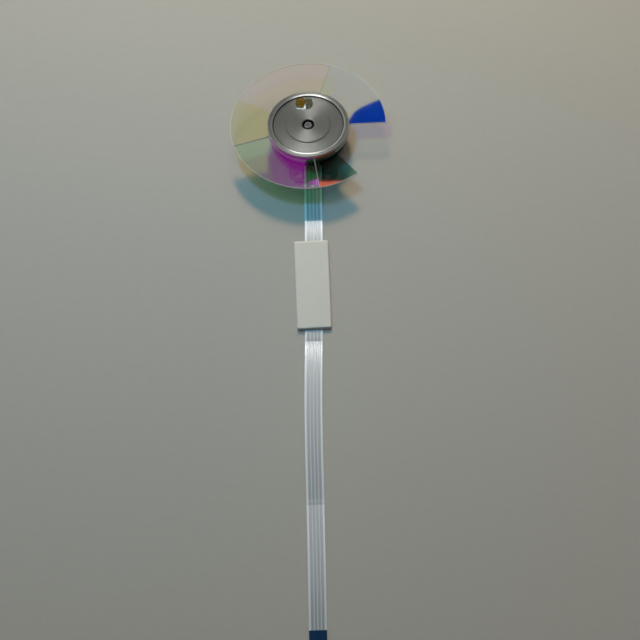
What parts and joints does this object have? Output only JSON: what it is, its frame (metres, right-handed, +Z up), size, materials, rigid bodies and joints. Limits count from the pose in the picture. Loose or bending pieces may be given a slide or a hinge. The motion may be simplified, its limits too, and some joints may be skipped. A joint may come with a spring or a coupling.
{
  "type": "projector color wheel",
  "caption": "Dichroic color wheel with an open sector, clamped on a flat outer-rotor motor with a mounting tongue and a flat flexible cable.",
  "frame": {"origin": "on the spindle axis, in the plane of the base plate's underside", "axes": "+Z up the spindle axis from the base plate to the clamp cap; the cable and the mounting tongue leave along -Y"},
  "size_m": [0.044, 0.2022, 0.0068],
  "materials": {
    "plate_steel": "dark electrocoat, satin",
    "circuit_board": "dark solder mask over glass laminate",
    "turned_brass": "turned",
    "sintered_bronze": "porous sintered bronze, oiled",
    "hard_steel": "ground and polished",
    "spring_steel": "stamped",
    "core_steel": "stacked laminations, grey insulation coat",
    "enamelled_copper": "enamelled copper wire, wound",
    "solder": "bright solder",
    "cable_film": "white polyester film over flat conductors",
    "tinned_copper": "tinned",
    "stiffener_film": "dark blue polyester",
    "foam_tape": "closed-cell foam",
    "liner_paper": "silicone-coated paper, semi-gloss",
    "turned_aluminium": "fine turned rings, bright bevels",
    "yoke_steel": "drawn cup, dark nickel",
    "magnet_compound": "bonded magnet",
    "black_mark": "matt black strip",
    "clear_adhesive": "cured adhesive",
    "dichroic_blue": "dichroic coating, passes blue and mirrors yellow",
    "dichroic_yellow": "dichroic coating, passes yellow and mirrors blue",
    "dichroic_green": "dichroic coating, passes green and mirrors magenta",
    "dichroic_cyan": "dichroic coating, passes cyan and mirrors red",
    "amber_compound": "amber resin, glossy",
    "clear_compound": "clear resin, glossy"
  },
  "bodies": {
    "motor_base": {"base_plate": "plate_steel", "motor_pcb": "circuit_board", "bearing_housing": "turned_brass", "sleeve_bearing": "sintered_bronze", "thrust_plate": "hard_steel", "housing_end_cap": "turned_brass", "stator_core": "core_steel", "stator_coils": "enamelled_copper", "coil_solder_joints": "solder", "ffc_solder_tails": "tinned_copper", "ffc_solder_joints": "solder", "ffc_ribbon": "cable_film", "ffc_contacts": "tinned_copper", "ffc_stiffener": "stiffener_film", "foam_tape_pad": "foam_tape", "release_liner": "liner_paper"},
    "rotor": {"shaft": "hard_steel", "retaining_clip": "spring_steel", "hub": "turned_aluminium", "rotor_yoke": "yoke_steel", "ring_magnet": "magnet_compound", "index_mark": "black_mark", "bonding_adhesive": "clear_adhesive", "glass_blue": "dichroic_blue", "glass_yellow": "dichroic_yellow", "glass_green": "dichroic_green", "glass_cyan": "dichroic_cyan", "clamp_cap": "turned_aluminium", "balance_compound_amber": "amber_compound", "balance_compound_clear": "clear_compound"}
  },
  "joints": [
    {"name": "wheel_spin", "type": "hinge", "parent": "motor_base", "child": "rotor", "pos_m": [0, 0, 0], "axis": [0, 0, 1], "continuous": true}
  ]
}
